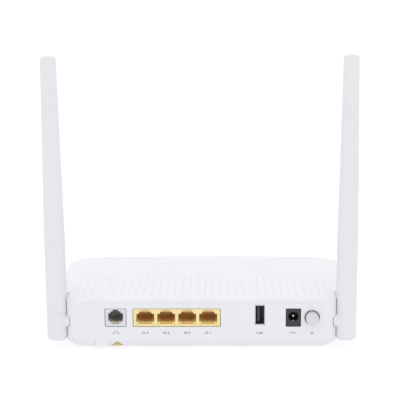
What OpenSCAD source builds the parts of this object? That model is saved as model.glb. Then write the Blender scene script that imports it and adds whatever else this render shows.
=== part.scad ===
// Optical network terminal with two folding antennas, connectors on the rear.
// Millimetres, +Z up. The origin is on the table under the middle of the whole object.
// The connectors face -Y, the indicator lights face +Y, and left is the -X side.
// Modules draw with Y counted from the outer face of the connector wall.

/* [Case] */
// Width across the two side edges
case_w = 206; // [204:1:210]
// Depth from the connector wall to the front edge
case_d = 140; // [138:1:146]
// Height of the top face above the table
case_top = 34.5; // [34:0.5:36]
// Thickness of the moulded walls
wall = 2.2; // [1.8:0.1:2.4]
// Thickness of the top cover
lid_t = 2.3; // [2:0.1:2.6]
// Height that the rubber feet lift the case
foot_h = 1; // [0.8:0.1:1.2]
// Width of the flat part of the top
flat_w = 166; // [160:1:170]
// Radius of the rounded shoulders beside the flat part
shoulder_r = 45; // [43:1:50]

/* [Antennas] */
// Height of the antenna tips above the table
antenna_top = 194.5; // [160:0.5:220]
// Distance of each antenna's axis from the middle
antenna_x = 96.9; // [96.7:0.1:97.2]
// Width of an antenna at its base
antenna_w = 13.6; // [13:0.1:13.8]
// Thickness of an antenna at its base, front to rear
antenna_t = 11; // [10:0.1:11.2]
// Width of an antenna just below its tip
tip_w = 9.9; // [8:0.1:11]
// Height up to which an antenna keeps its full width
taper_z = 80; // [60:1:90]
// Height of the folding axis above the table
pivot_z = 18.5; // [18:0.5:20]

/* [Connectors] */
// Middle of the telephone jack
phone_x = -56.9; // [-58:0.1:-56]
// Middle of the block of four network jacks
lan_x = -16.2; // [-18:0.1:-14]
// Spacing of the network jacks
lan_pitch = 13.97; // [13.9:0.01:14.2]
// Middle of the USB socket
usb_x = 39.1; // [37:0.1:41]
// Middle of the power jack
dc_x = 61.3; // [60.5:0.1:61.5]
// Middle of the power button
power_x = 73.65; // [73.4:0.05:73.8]
// How far the power button stands out of the wall
cap_out = 4.6; // [4:0.1:5]

/* [Vents] */
// Spacing of the dashed vent lines
vent_pitch = 5.145; // [5:0.005:5.2]
// Number of vent lines on each side of the middle
vent_lines = 19; // [17:1:19]
// Depth of the dashes
vent_depth = 0.4; // [0.3:0.1:1.4]
// Number of dashes in a line
vent_dashes = 9; // [6:1:10]

/* [Hidden] */
$fn = 48;

rear_y = (cap_out - case_d) / 2;
half_w = case_w / 2;
flat_x = flat_w / 2;
floor_z = foot_h;
inner_floor = floor_z + wall;
lip_z = case_top - lid_t;

// Lower corners of the case, seen from the rear
corner_r = 19;
corner_x = 78;
corner_z = floor_z + corner_r;
shoulder_z = case_top - shoulder_r;
shoulder_a = acos((half_w - flat_x) / shoulder_r);
crease_z = shoulder_z + shoulder_r * sin(shoulder_a);
side_dx = half_w - corner_x;
side_dz = crease_z - corner_z;
side_a = atan2(side_dz, side_dx) - acos(corner_r / norm([side_dx, side_dz]));

// Sloping front: a very large radius bows it a little towards the middle
bow_r = 1200;
brow_z = 13;
crest_y = 114.4;
front_chamfer = 5;

// Rubber feet
foot_r = 4.4;
foot_x = 79.2;
foot_y = [14, 122];

// Chamfer along the lower edge of the connector wall
heel_y = 4.6;
heel_z = 5.7;

// Rounded ends of the connector wall, and the notches for the antennas
neck_x = 89.8;
end_x = 80.3;
end_r = 13;
notch_y = 22;
pivot_y = 7;
hub_r = 5;
hub_x = 88;
boss_x = 83.5;
barrel_r = 2.8;
barrel_end_x = 80.4;
barrel_bore_r = 1.4;
washer_r = 4.1;
knuckle_top = 24.5;

// Main board, and the four columns that the case screws clamp
board_z = 14.2;
board_t = 1.6;
board_top = board_z + board_t;
column_x = 84.5;
column_y = [34, 106];

// Connectors
jack_low = 16;
jack_top = 28;
jack_depth = 17.5;
face_y = 0.3;
lan_w = 57.9;
phone_w = 13.8;
fit = 0.15;
usb_z = 17.2;
usb_w = 6;
usb_h = 13.4;
dc_w = 9.5;
dc_z = 22.7;
power_z = 22.1;
power_bore = 5.1;
power_r = 4.25;
notch_x = [-70.9, -63.8];
bay_x = [-73, -56];
bay_y = [5.5, 62];
bay_top = 12.4;
fibre_x = -64.5;
fibre_z = 7.7;

sticker_x = -56.3;

// Side buttons and indicator lights
radio_y = 72;
pairing_y = 86;
reset_y = 99;
side_z = 19.5;
led_y = 124;
led_pitch = 9;
led_count = 11;

// ---- Shared shapes ----

// Box given by its ranges along X, Y and Z
module block(x, y, z)
    translate([x[0], y[0], z[0]]) cube([x[1] - x[0], y[1] - y[0], z[1] - z[0]]);

// Round bar along X, Y or Z
module rod_x(x, y, z, r) translate([x[0], y, z]) rotate([0, 90, 0]) cylinder(h = x[1] - x[0], r = r);
module rod_y(x, y, z, r) translate([x, y[1], z]) rotate([90, 0, 0]) cylinder(h = y[1] - y[0], r = r);
module rod_z(x, y, z, r) translate([x, y, z[0]]) cylinder(h = z[1] - z[0], r = r);

// Everything is drawn from the connector wall and put in place here
module placed() translate([0, rear_y, 0]) children();

// The right side as drawn, or its mirror image for the left
module side(s) mirror([s < 0 ? 1 : 0, 0, 0]) children();

function arc(x, z, r, from, to, n = 10) =
    [for (i = [0:n]) let (a = from + (to - from) * i / n) [x + r * cos(a), z + r * sin(a)]];

function reversed(points) = [for (i = [len(points) - 1:-1:0]) points[i]];

// Where a corner moves to, for each millimetre that both its sides move along m and n
function miter(m, n) = (m + n) / (1 + m * n);

// Outline of the case seen from the rear, moved inwards by t
function crease_x(t) = half_w - t * (-miter([-cos(side_a), -sin(side_a)],
    [-cos(shoulder_a), -sin(shoulder_a)])[0]);
function half_outline(t) = concat(
    arc(corner_x, corner_z, corner_r - t, -90, side_a),
    arc(flat_x, shoulder_z, shoulder_r - t, acos((crease_x(t) - flat_x) / (shoulder_r - t)), 90));
function outline(t) = concat(half_outline(t), [for (p = reversed(half_outline(t))) [-p[0], p[1]]]);

module outline_bar(t, y) translate([0, y[1], 0]) rotate([90, 0, 0])
    linear_extrude(y[1] - y[0]) polygon(outline(t));

// Front of the case, moved inwards by t: a profile swept round a distant axis
brow_slope = [crest_y - case_d, case_top - brow_z] / norm([crest_y - case_d, case_top - brow_z]);
brow_in = [-brow_slope[1], brow_slope[0]];
module front_sweep(t) {
    brow = [case_d, brow_z] + t * miter([-1, 0], brow_in);
    above = brow + 60 * brow_slope;
    translate([0, case_d - bow_r, 0]) rotate_extrude($fn = 180)
        translate([bow_r - case_d, 0]) polygon([
            [-20, floor_z - 9], [case_d - front_chamfer - 10 - 0.41 * t, floor_z - 9],
            [case_d - t, floor_z + front_chamfer + 0.41 * t], brow, above, [-20, above[1]]]);
}

// Plan of the case with its antenna notches, walls moved inwards by t
module plan(t) linear_extrude(60) {
    translate([-half_w - 5, notch_y + t]) square([case_w + 10, case_d]);
    intersection() {
        translate([-neck_x + t, t]) square([2 * (neck_x - t), notch_y]);
        union() {
            translate([-end_x, t]) square([2 * end_x, notch_y]);
            translate([-neck_x, end_r]) square([2 * neck_x, notch_y]);
            for (s = [-1, 1]) translate([s * end_x, end_r]) circle(r = end_r - t, $fn = 96);
        }
    }
}

// Wedge that chamfers the lower edge of the connector wall, moved inwards by t
module heel_wedge(t) {
    n = [heel_z - floor_z, heel_y] / norm([heel_z - floor_z, heel_y]);
    run = [heel_y, floor_z - heel_z];
    a = [0, heel_z] + t * n - 3 * run;
    b = [0, heel_z] + t * n + 4 * run;
    rotate([90, 0, 90]) translate([0, 0, -half_w - 10]) linear_extrude(case_w + 20)
        polygon([a, b, b - 20 * n, a - 20 * n]);
}

// The case's outer and inner volumes, and all that lies under the top cover
module outer_volume() difference() {
    intersection() { outline_bar(0, [-1, case_d + 5]); front_sweep(0); plan(0); }
    heel_wedge(0);
}
module inner_volume() difference() {
    intersection() { outline_bar(wall, [0, case_d + 5]); front_sweep(wall); plan(wall); }
    heel_wedge(wall);
}
module under_cover() translate([0, 0, -lid_t - 1]) intersection() {
    outline_bar(-1, [-5, case_d + 9]);
    front_sweep(-1);
}

// Column that carries a case screw
module at_columns() for (s = [-1, 1], y = column_y) translate([s * column_x, y, 0]) children();

// Superellipse section of the antennas
function oval(w, t, n = 40) = [for (i = [0:n - 1]) let (a = 360 * i / n, c = cos(a), s = sin(a))
    [w / 2 * sign(c) * pow(abs(c), 0.85), t / 2 * sign(s) * pow(abs(s), 0.85)]];
module oval_slice(w, t, z) translate([0, 0, z]) linear_extrude(0.01) polygon(oval(w, t));

// Tube along a route, built as one closed skin
function unit(v) = v / norm(v);
function route_dir(p, i) = unit(p[min(i + 1, len(p) - 1)] - p[max(i - 1, 0)]);
function ring(p, i, r, n) = let (d = route_dir(p, i), u = unit(cross(d, [0.13, 0.21, 1])), v = cross(d, u))
    [for (k = [0:n - 1]) p[i] + r * (cos(360 * k / n) * u + sin(360 * k / n) * v)];
module tube(p, r, n = 8) {
    m = len(p);
    polyhedron([for (i = [0:m - 1]) each ring(p, i, r, n)], concat(
        [[for (k = [0:n - 1]) k]], [[for (k = [n - 1:-1:0]) (m - 1) * n + k]],
        [for (i = [0:m - 2], k = [0:n - 1])
            [i * n + k, (i + 1) * n + k, (i + 1) * n + (k + 1) % n, i * n + (k + 1) % n]]));
}

// ---- Housing ----

// Dashed grooves; the line beside each antenna is drawn in, clear of the cover's edge
module vent_grooves() {
    dash = 2.6;
    first = 6.2;
    step = 52.8 / vent_dashes;
    for (s = [-1, 1], k = [0:vent_lines - 1], i = [0:vent_dashes - 1]) {
        line = (k + 0.5) * vent_pitch;
        x = abs(line - neck_x) < 1.5 ? neck_x - 0.9 : line;
        y = first + i * step;
        z = shoulder_z + sqrt(pow(shoulder_r, 2) - pow(max(x - flat_x, 0), 2));
        if (x < neck_x || y > notch_y + 2)
            side(s) block([x - 0.25, x + 0.25], [y, y + dash], [z - vent_depth, case_top + 1]);
    }
}

module top_cover() placed() color("white") difference() {
    union() {
        difference() {
            intersection() { outline_bar(0, [-1, case_d + 5]); front_sweep(0); plan(0); }
            under_cover();
        }
        at_columns() rod_z(0, 0, [board_top, lip_z + 0.5], 3.2);
    }
    at_columns() rod_z(0, 0, [board_top - 1, 28], 1.5);
    vent_grooves();
    for (i = [0:led_count - 1])
        rod_z((i - (led_count - 1) / 2) * led_pitch, led_y, [15, case_top], 1.6);
}

// Openings in the connector wall, and those for the fibre
module wall_openings() {
    block([phone_x - phone_w / 2 - fit, phone_x + phone_w / 2 + fit], [-1, 4], [jack_low - fit, jack_top + fit]);
    block([lan_x - lan_w / 2 - fit, lan_x + lan_w / 2 + fit], [-1, 4], [jack_low - fit, jack_top + fit]);
    block([usb_x - usb_w / 2 - fit, usb_x + usb_w / 2 + fit], [-1, 4],
        [usb_z - fit, usb_z + usb_h + fit]);
    block([dc_x - dc_w / 2 - fit, dc_x + dc_w / 2 + fit], [-1, 4], [jack_low - fit, jack_top + fit]);
    rod_y(power_x, [-1, 4], power_z, power_bore);
    block(notch_x, [-1, bay_y[0] + 1], [-1, heel_z]);
    block(bay_x, bay_y, [-1, bay_top]);
    block([fibre_x - 5.7, fibre_x + 5.7], [bay_y[1] - 1, bay_y[1] + 3], [inner_floor, 12.3]);
}

// Openings in the right side for two buttons and the reset pin
module side_openings() {
    for (y = [radio_y, pairing_y])
        block([91.5, half_w + 1], [y - 3.8, y + 3.8], [side_z - 2.3, side_z + 2.3]);
    rod_x([91.5, half_w + 1], reset_y, side_z, 1);
}

module bottom_case() placed() color("white") difference() {
    union() {
        difference() {
            intersection() { outer_volume(); under_cover(); }
            inner_volume();
            translate([0, 0, 3]) inner_volume();
        }
        intersection() {
            outer_volume();
            union() {
                for (s = [-1, 1]) side(s) rod_x([boss_x, neck_x - 0.5], pivot_y, pivot_z, 8.5);
                at_columns() rod_z(0, 0, [floor_z, board_z], 4.6);
                block([bay_x[0] - 1.6, bay_x[1] + 1.6], [1, bay_y[1] + 1.6], [floor_z, bay_top + 1.4]);
                for (x = [-30, 46], y = [50, 100]) rod_z(x, y, [floor_z, board_z], 2);
            }
        }
    }
    for (s = [-1, 1]) side(s) {
        rod_x([hub_x - 0.3, neck_x + 8], pivot_y, pivot_z, hub_r + 0.35);
        rod_x([boss_x - 5, neck_x], pivot_y, pivot_z, barrel_r + 0.05);
    }
    at_columns() {
        rod_z(0, 0, [-1, 6], 3);
        rod_z(0, 0, [5, board_z + 1], 1.7);
    }
    wall_openings();
    side_openings();
    foot_places() rod_z(0, 0, [-1, floor_z + 0.4], foot_r + 0.2);
    for (i = [0:11]) block([i * 6 - 26, i * 6 - 24], [56, 84], [-1, inner_floor + 1]);
}

module foot_places() for (s = [-1, 1], y = foot_y) translate([s * foot_x, y, 0]) children();

module rubber_feet() placed() color("dimgray") foot_places() rod_z(0, 0, [0, floor_z + 0.4], foot_r);

module case_screws() placed() color("silver") at_columns() difference() {
    union() {
        rod_z(0, 0, [3.6, 6], 2.8);
        rod_z(0, 0, [5.5, 26], 1.45);
    }
    for (a = [0, 90]) rotate([0, 0, a]) block([-1.7, 1.7], [-0.35, 0.35], [3, 4.8]);
}

module rating_plate() placed() color("gainsboro") block([-30, 30], [90, 116], [floor_z - 0.15, floor_z]);

// Plain triangle on the chamfer, beside the fibre notch
module fibre_sticker() placed() color("gold") {
    slope = atan2(heel_z - floor_z, heel_y);
    translate([sticker_x, 0, heel_z]) rotate([180 - slope, 0, 0]) linear_extrude(0.15)
        polygon([[-3.6, -5.7], [3.6, -5.7], [0, -0.3]]);
}

// Plain printed marks under the connectors
module wall_marks() placed() color("silver") for (x = mark_x())
    block([x - 2.2, x + 2.2], [-0.06, 0], [10.9, 12.3]);
function mark_x() = concat([phone_x, usb_x, dc_x, power_x],
    [for (i = [0:3]) lan_x + (i - 1.5) * lan_pitch]);

// ---- Connectors ----

// Stepped opening of a modular jack: width and height of each step, from the bottom up
module jack_cavity(x, steps, depth) for (i = [0:len(steps) - 1]) {
    w = steps[i][0];
    block([x - w / 2, x + w / 2], [face_y - 1, depth], [steps[i][1], steps[i][2]]);
}

// Body of a jack, held clear of the board by a pad under it
module jack_block(x, w, depth) {
    block([x - w / 2, x + w / 2], [face_y, depth], [jack_low, jack_top]);
    block([x - w / 2 + 1, x + w / 2 - 1], [4.5, depth - 1], [board_top, jack_low + 0.1]);
}

module phone_jack() placed() color("gainsboro") difference() {
    jack_block(phone_x, phone_w, 16);
    jack_cavity(phone_x, [[6.4, 17.6, 19.5], [10, 19.3, 25.1], [7, 25, 26.6], [4.4, 26.5, 27.4]], 13);
}

module lan_jacks() placed() color("khaki") difference() {
    jack_block(lan_x, lan_w, jack_depth);
    for (i = [0:3]) {
        x = lan_x + (i - 1.5) * lan_pitch;
        jack_cavity(x, [[8.6, 17.6, 19.3], [11.9, 19.1, 24.7], [8, 24.6, 26.3]], 14);
        intersection() {
            rod_y(x, [face_y - 1, 14], 24.6, 3);
            block([x - 3, x + 3], [face_y - 1, 14], [26, 28]);
        }
    }
}

// Contact springs in a jack: they rise from the mouth towards the back
module contacts(x, count, pitch, back) for (k = [0:count - 1])
    translate([x + (k - (count - 1) / 2) * pitch - 0.17, 3, 17.65]) rotate([11, 0, 0])
        cube([0.34, back - 3, 0.3]);
module phone_contacts() placed() color("gold") contacts(phone_x, 4, 1.02, 13.1);
module lan_contacts() placed() color("gold")
    for (i = [0:3]) contacts(lan_x + (i - 1.5) * lan_pitch, 8, 1.02, 14.1);

module usb_shell() placed() color("lightgray") difference() {
    block([usb_x - usb_w / 2, usb_x + usb_w / 2], [face_y, 17], [usb_z, usb_z + usb_h]);
    block([usb_x - usb_w / 2 + 0.35, usb_x + usb_w / 2 - 0.35], [face_y - 1, 16.6],
        [usb_z + 0.35, usb_z + usb_h - 0.35]);
}
module usb_tongue() placed() color("black") {
    block([usb_x - usb_w / 2 + 0.4, usb_x + usb_w / 2 - 0.4], [12, 16.5],
        [usb_z + 0.4, usb_z + usb_h - 0.4]);
    block([usb_x - usb_w / 2 + 0.9, usb_x - usb_w / 2 + 2.8], [1.6, 12.1], [usb_z + 1.2, usb_z + usb_h - 1.2]);
}

module dc_jack() placed() color("dimgray") difference() {
    jack_block(dc_x, dc_w, 14.5);
    rod_y(dc_x, [face_y - 1, 10.5], dc_z, 3.25);
    block([dc_x - 0.9, dc_x + 0.9], [1.5, 10.5], [dc_z - 3.9, dc_z]);
}
module dc_pin() placed() color("silver") rod_y(dc_x, [1.6, 10.5], dc_z, 1.05);
module dc_spring() placed() color("silver") translate([dc_x - 0.7, 2, dc_z - 3.7]) rotate([6, 0, 0])
    cube([1.4, 8, 0.3]);

// ---- Buttons and switches ----

module power_button() placed() color("whitesmoke") difference() {
    union() {
        rotate_about_power() rotate_extrude($fn = 64)
            polygon(concat([[0, 0]], [[0, cap_out + 4]], arc(power_r - 0.6, cap_out + 3.4, 0.6, 90, 0, 6), [[power_r, 0]]));
        rod_y(power_x, [2.7, 3.5], power_z, power_bore + 0.8);
    }
    block([power_x - 1.5, power_x + 1.5], [0.5, 5], [power_z - 1.5, power_z + 1.5]);
}
// The cap's axis runs along -Y, from four millimetres behind the wall's face
module rotate_about_power() translate([power_x, 4, power_z]) rotate([90, 0, 0]) children();

module power_plunger() placed() color("dimgray")
    block([power_x - 1.5, power_x + 1.5], [0.5, 10], [power_z - 1.5, power_z + 1.5]);

module power_switch() placed() color("gray") difference() {
    block([power_x - 3.5, power_x + 3.5], [8, 20], [board_top, 26.3]);
    block([power_x - 1.8, power_x + 1.8], [7, 13.2], [power_z - 1.8, power_z + 1.8]);
}

// Cap of a side button, with the flange that keeps it in the case
module side_button(y) {
    intersection() {
        block([94, half_w + 2], [y - 3.5, y + 3.5], [side_z - 2, side_z + 2]);
        outline_bar(-0.5, [y - 5, y + 5]);
    }
    block([92.4, 93.6], [y - 4.6, y + 4.6], [side_z - 3, side_z + 3]);
    block([91.4, 94.5], [y - 1.5, y + 1.5], [side_z - 1.2, side_z + 1.2]);
}
module radio_button() placed() color("whitesmoke") side_button(radio_y);
module pairing_button() placed() color("whitesmoke") side_button(pairing_y);

module push_switches() placed() color("dimgray") for (y = [radio_y, pairing_y, reset_y]) {
    block([84.5, 89.5], [y - 3, y + 3], [board_top, board_top + 5.4]);
    rod_x([89.4, 90.4], y, side_z, 1.1);
}

// ---- Board and what it carries ----

module main_board() placed() color("darkgreen") difference() {
    union() {
        block([-79.5, 79.5], [3, 27], [board_z, board_top]);
        block([-90, 90], [26, 128], [board_z, board_top]);
    }
    at_columns() rod_z(0, 0, [board_z - 1, board_top + 1], 1.8);
}

module chip(x, y, w, d, h) block([x - w / 2, x + w / 2], [y - d / 2, y + d / 2], [board_top, board_top + h]);

soc_x = 4;
soc_y = 66;
module processor() placed() color("dimgray") chip(soc_x, soc_y, 23, 23, 1.6);
module thermal_pad() placed() color("lightblue") translate([0, 0, 1.6]) chip(soc_x, soc_y, 22, 22, 0.5);
module heat_sink() placed() color("silver") difference() {
    translate([0, 0, 2.1]) chip(soc_x, soc_y, 38, 38, 10);
    for (i = [0:8]) block([soc_x - 17 + i * 4, soc_x - 15 + i * 4], [soc_y - 20, soc_y + 20],
        [board_top + 4.4, board_top + 14]);
}
module memory_chips() placed() color("black") {
    chip(36, 56, 9, 13, 1.1);
    chip(36, 76, 9, 13, 1.1);
    chip(-14, 100, 12, 18, 1);
}
radio_x = -42;
radio_chip_y = 88;
module radio_chip() placed() color("black") chip(radio_x, radio_chip_y, 10, 10, 1);
module radio_shield() placed() color("silver") difference() {
    chip(radio_x, radio_chip_y, 28, 26, 3.4);
    translate([0, 0, -0.4]) chip(radio_x, radio_chip_y, 27.2, 25.2, 3.4);
}
module crystals() placed() color("silver") { chip(-22, 62, 5, 3.2, 1.2); chip(58, 66, 5, 3.2, 1.2); }
module lan_transformers() placed() color("black") for (s = [-1, 1]) chip(lan_x + s * 14, 28, 24, 15, 5.8);
module line_chip() placed() color("black") chip(-50, 34, 9, 9, 1);

module capacitors() placed() color("slategray") {
    for (p = [[56, 30, 5, 10], [70, 30, 4, 9], [60, 44, 4, 9], [-68, 34, 3.2, 7]])
        rod_z(p[0], p[1], [board_top, board_top + p[3]], p[2]);
}
module inductors() placed() color("dimgray") { chip(44, 34, 7, 7, 3.4); chip(72, 50, 8, 8, 4); }

module indicator_leds() placed() color("white") for (i = [0:led_count - 1])
    chip((i - (led_count - 1) / 2) * led_pitch, led_y, 3, 1.6, 1);

module light_guide() placed() color("azure") intersection() {
    union() {
        for (i = [0:led_count - 1]) rod_z((i - (led_count - 1) / 2) * led_pitch, led_y, [17.4, 40], 1.45);
        block([-48, 48], [led_y - 1.2, led_y + 1.2], [18.6, 20.4]);
    }
    front_sweep(0);
}

module optical_module() placed() color("silver") {
    rod_y(fibre_x, [77.5, 86], fibre_z, 2.6);
    block([fibre_x - 4, fibre_x + 4], [86, 95], [fibre_z - 4, fibre_z + 4]);
    rod_y(fibre_x, [95, 101], fibre_z, 2.4);
    rod_x([fibre_x + 4, fibre_x + 9], 90.5, fibre_z, 2.4);
}

module fibre_adapter() placed() color("seagreen") difference() {
    union() {
        block([fibre_x - 5.6, fibre_x + 5.6], [60.5, 77.5], [inner_floor, 12.2]);
        block([fibre_x - 7.5, fibre_x + 7.5], [bay_y[1] + 1.6, bay_y[1] + 3.2], [inner_floor, 12.2]);
    }
    block([fibre_x - 4.5, fibre_x + 4.5], [59, 72], [4, 11.4]);
    rod_y(fibre_x, [71, 78], fibre_z, 1.25);
}
module fibre_ferrule() placed() color("ivory") rod_y(fibre_x, [63.5, 77.5], fibre_z, 1.25);

// ---- Antennas ----

// Each antenna part is drawn on the right side
module knuckle() difference() {
    union() {
        translate([antenna_x, pivot_y, 0]) hull() {
            oval_slice(antenna_w - 5.4, antenna_t - 4.4, 4.8);
            oval_slice(antenna_w - 2.6, antenna_t - 2.2, 5.5);
            oval_slice(antenna_w - 0.9, antenna_t - 0.8, 6.8);
            oval_slice(antenna_w, antenna_t, 9);
            oval_slice(antenna_w - 0.1, antenna_t, knuckle_top - 0.02);
        }
        rod_x([hub_x, antenna_x], pivot_y, pivot_z, hub_r - 1.1);
        rod_x([hub_x, antenna_x - antenna_w / 2 + 1.6], pivot_y, pivot_z, hub_r);
    }
    rod_x([hub_x - 1, 93], pivot_y, pivot_z, barrel_r);
    rod_x([92, antenna_x + 1.6], pivot_y, pivot_z, barrel_bore_r);
    rod_z(antenna_x, pivot_y, [pivot_z, knuckle_top + 1], barrel_bore_r);
}

module sleeve() difference() {
    sleeve_form(0, knuckle_top + 0.02, antenna_top);
    sleeve_form(1.6, knuckle_top - 1, antenna_top - 6);
}
// The sleeve's tapered body between two heights, with its walls moved inwards by t
module sleeve_form(t, z0, z1) translate([antenna_x, pivot_y, 0]) hull() {
    oval_slice(antenna_w - 0.1 - 2 * t, antenna_t - 2 * t, z0);
    oval_slice(antenna_w - 0.2 - 2 * t, antenna_t - 0.1 - 2 * t, taper_z);
    oval_slice(tip_w - 2 * t, tip_w - 1.3 - 2 * t, z1 - 2.2);
    oval_slice(tip_w - 0.8 - 2 * t, tip_w - 2.1 - 2 * t, z1 - 0.8);
    oval_slice(tip_w - 2.6 - 2 * t, tip_w - 3.9 - 2 * t, z1);
}

module barrel() difference() {
    rod_x([barrel_end_x, 93], pivot_y, pivot_z, barrel_r);
    rod_x([barrel_end_x - 1, 94], pivot_y, pivot_z, barrel_bore_r);
}
module washer() difference() {
    rod_x([82.4, 83.2], pivot_y, pivot_z, washer_r);
    rod_x([82, 84], pivot_y, pivot_z, barrel_r);
}
module clip() difference() {
    rod_x([80.9, 82.4], pivot_y, pivot_z, washer_r);
    rod_x([80, 83], pivot_y, pivot_z, barrel_r);
    block([80, 83], [pivot_y - 1.4, pivot_y + 1.4], [pivot_z + 2, pivot_z + 7]);
}

// Feed cable and the printed strip that radiates
module radiator() translate([antenna_x, pivot_y, 0]) {
    rod_z(0, 0, [20.5, 62], 0.57);
    block([-2.6, 2.6], [0.57, 1.37], [44, 168]);
    rod_z(0, -0.2, [62, 92], 1.3);
}

module antenna_sleeve_left() placed() color("white") side(-1) sleeve();
module antenna_sleeve_right() placed() color("white") side(1) sleeve();
module antenna_knuckle_left() placed() color("white") side(-1) knuckle();
module antenna_knuckle_right() placed() color("white") side(1) knuckle();
module hinge_barrel_left() placed() color("silver") side(-1) barrel();
module hinge_barrel_right() placed() color("silver") side(1) barrel();
module hinge_washer_left() placed() color("silver") side(-1) washer();
module hinge_washer_right() placed() color("silver") side(1) washer();
module hinge_clip_left() placed() color("silver") side(-1) clip();
module hinge_clip_right() placed() color("silver") side(1) clip();
module radiator_left() placed() color("darkkhaki") side(-1) radiator();
module radiator_right() placed() color("darkkhaki") side(1) radiator();

// Leads from the hinge axis to their plugs on the board
plug_x = 62;
plug_y = 96;
lead_route = [
    [96, 7, 18.5], [92, 7, 18.5], [86, 7, 18.5], [81, 7, 18.5], [79.8, 7.2, 18.6],
    [79, 7.9, 18.8], [78.6, 9, 19.1], [78.5, 11, 19.6], [78.6, 15, 20.4], [79, 21, 21.2],
    [80, 30, 21.4], [79.5, 40, 21.2], [79, 52, 20.6], [78.5, 64, 20], [77.5, 76, 19.6],
    [74, 86, 19.2], [69.5, 92.5, 18.6], [66.4, 95.6, 17.9], [65, 96, 17.6], [63.7, 96, 17.5]];
module lead() tube(lead_route, 0.57);
module antenna_lead_left() placed() color("dimgray") side(-1) lead();
module antenna_lead_right() placed() color("dimgray") side(1) lead();

module lead_plugs() placed() color("gold") for (s = [-1, 1]) side(s) {
    rod_z(plug_x, plug_y, [board_top, board_top + 2.2], 1.5);
    block([plug_x - 0.8, plug_x + 1.6], [plug_y - 0.8, plug_y + 0.8], [board_top + 1.1, board_top + 2.2]);
}

top_cover();
bottom_case();
rubber_feet();
case_screws();
rating_plate();
fibre_sticker();
wall_marks();
phone_jack();
phone_contacts();
lan_jacks();
lan_contacts();
usb_shell();
usb_tongue();
dc_jack();
dc_pin();
dc_spring();
power_button();
power_plunger();
power_switch();
radio_button();
pairing_button();
push_switches();
main_board();
processor();
thermal_pad();
heat_sink();
memory_chips();
radio_chip();
radio_shield();
crystals();
lan_transformers();
line_chip();
capacitors();
inductors();
optical_module();
fibre_adapter();
fibre_ferrule();
indicator_leds();
light_guide();
lead_plugs();
antenna_lead_left();
antenna_lead_right();
antenna_sleeve_left();
antenna_sleeve_right();
antenna_knuckle_left();
antenna_knuckle_right();
hinge_barrel_left();
hinge_barrel_right();
hinge_washer_left();
hinge_washer_right();
hinge_clip_left();
hinge_clip_right();
radiator_left();
radiator_right();
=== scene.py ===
"""Looks of the optical network terminal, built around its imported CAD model.

Shapes are drawn in millimetres, with Y counted from the outer face of the connector wall, and
become metres in the shared frame when an object is made from them. Left is the -X side.
"""

from math import atan2, cos, degrees, hypot, pi, radians, sin, sqrt, tan

import bmesh
import bpy
from mathutils import Matrix, Vector


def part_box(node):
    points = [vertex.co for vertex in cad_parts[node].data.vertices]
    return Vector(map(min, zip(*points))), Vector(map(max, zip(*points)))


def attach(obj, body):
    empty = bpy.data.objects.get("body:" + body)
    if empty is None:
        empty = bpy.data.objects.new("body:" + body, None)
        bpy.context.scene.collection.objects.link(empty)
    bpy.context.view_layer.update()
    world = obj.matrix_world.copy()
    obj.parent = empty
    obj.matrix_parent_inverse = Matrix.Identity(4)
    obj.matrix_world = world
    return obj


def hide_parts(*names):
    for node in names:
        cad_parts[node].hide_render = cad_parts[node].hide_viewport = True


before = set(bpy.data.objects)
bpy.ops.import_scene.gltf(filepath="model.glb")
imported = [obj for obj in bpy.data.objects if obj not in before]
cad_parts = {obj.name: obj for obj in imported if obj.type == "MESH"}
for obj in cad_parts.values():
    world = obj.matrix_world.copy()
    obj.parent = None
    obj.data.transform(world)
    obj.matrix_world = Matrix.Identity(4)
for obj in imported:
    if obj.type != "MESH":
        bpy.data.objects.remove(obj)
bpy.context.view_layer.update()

MM = 0.001
WELD = 1e-6
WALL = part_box("bottom_case")[0].y
SIDES = (("left", -1), ("right", 1))


def span(node):
    """Ranges of a CAD node along X, Y and Z."""
    low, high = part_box(node)
    shift = (0, WALL, 0)
    return [((low[i] - shift[i]) / MM, (high[i] - shift[i]) / MM) for i in range(3)]


def middle(limits):
    return (limits[0] + limits[1]) / 2


# ---- Drawing meshes ----


def on_axis(axis, position, p):
    """Point at a position along an axis; p holds its other two coordinates in X, Y, Z order."""
    if axis == "x":
        return (position, p[0], p[1])
    if axis == "y":
        return (p[0], position, p[1])
    return (p[0], p[1], position)


def arc(centre, radius, start, end, count):
    """Points of an arc, with its angles in degrees."""
    angles = [radians(start + (end - start) * k / count) for k in range(count + 1)]
    return [(centre[0] + radius * cos(a), centre[1] + radius * sin(a)) for a in angles]


def rectangle(x, z):
    return [(x[0], z[0]), (x[1], z[0]), (x[1], z[1]), (x[0], z[1])]


def rounded(corners, radius, count=4):
    """Closed outline with its corners rounded, each corner along a quadratic curve."""
    outline = []
    for i, corner in enumerate(corners):
        p = Vector(corner)
        before = (Vector(corners[i - 1]) - p).normalized() * radius
        after = (Vector(corners[(i + 1) % len(corners)]) - p).normalized() * radius
        for k in range(count + 1):
            t = k / count
            outline.append(tuple(p + before * (1 - t) ** 2 + after * t**2))
    return outline


def grown(outline, amount):
    """Closed outline moved outwards by an amount."""
    area = sum(
        outline[i - 1][0] * outline[i][1] - outline[i][0] * outline[i - 1][1]
        for i in range(len(outline))
    )
    turn = 1 if area > 0 else -1
    result = []
    for i, p in enumerate(outline):
        before = (Vector(p) - Vector(outline[i - 1])).normalized()
        after = (Vector(outline[(i + 1) % len(outline)]) - Vector(p)).normalized()
        m = Vector((before.y, -before.x)) * turn
        n = Vector((after.y, -after.x)) * turn
        result.append(tuple(Vector(p) + (m + n) * (amount / (1 + m.dot(n)))))
    return result


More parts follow.
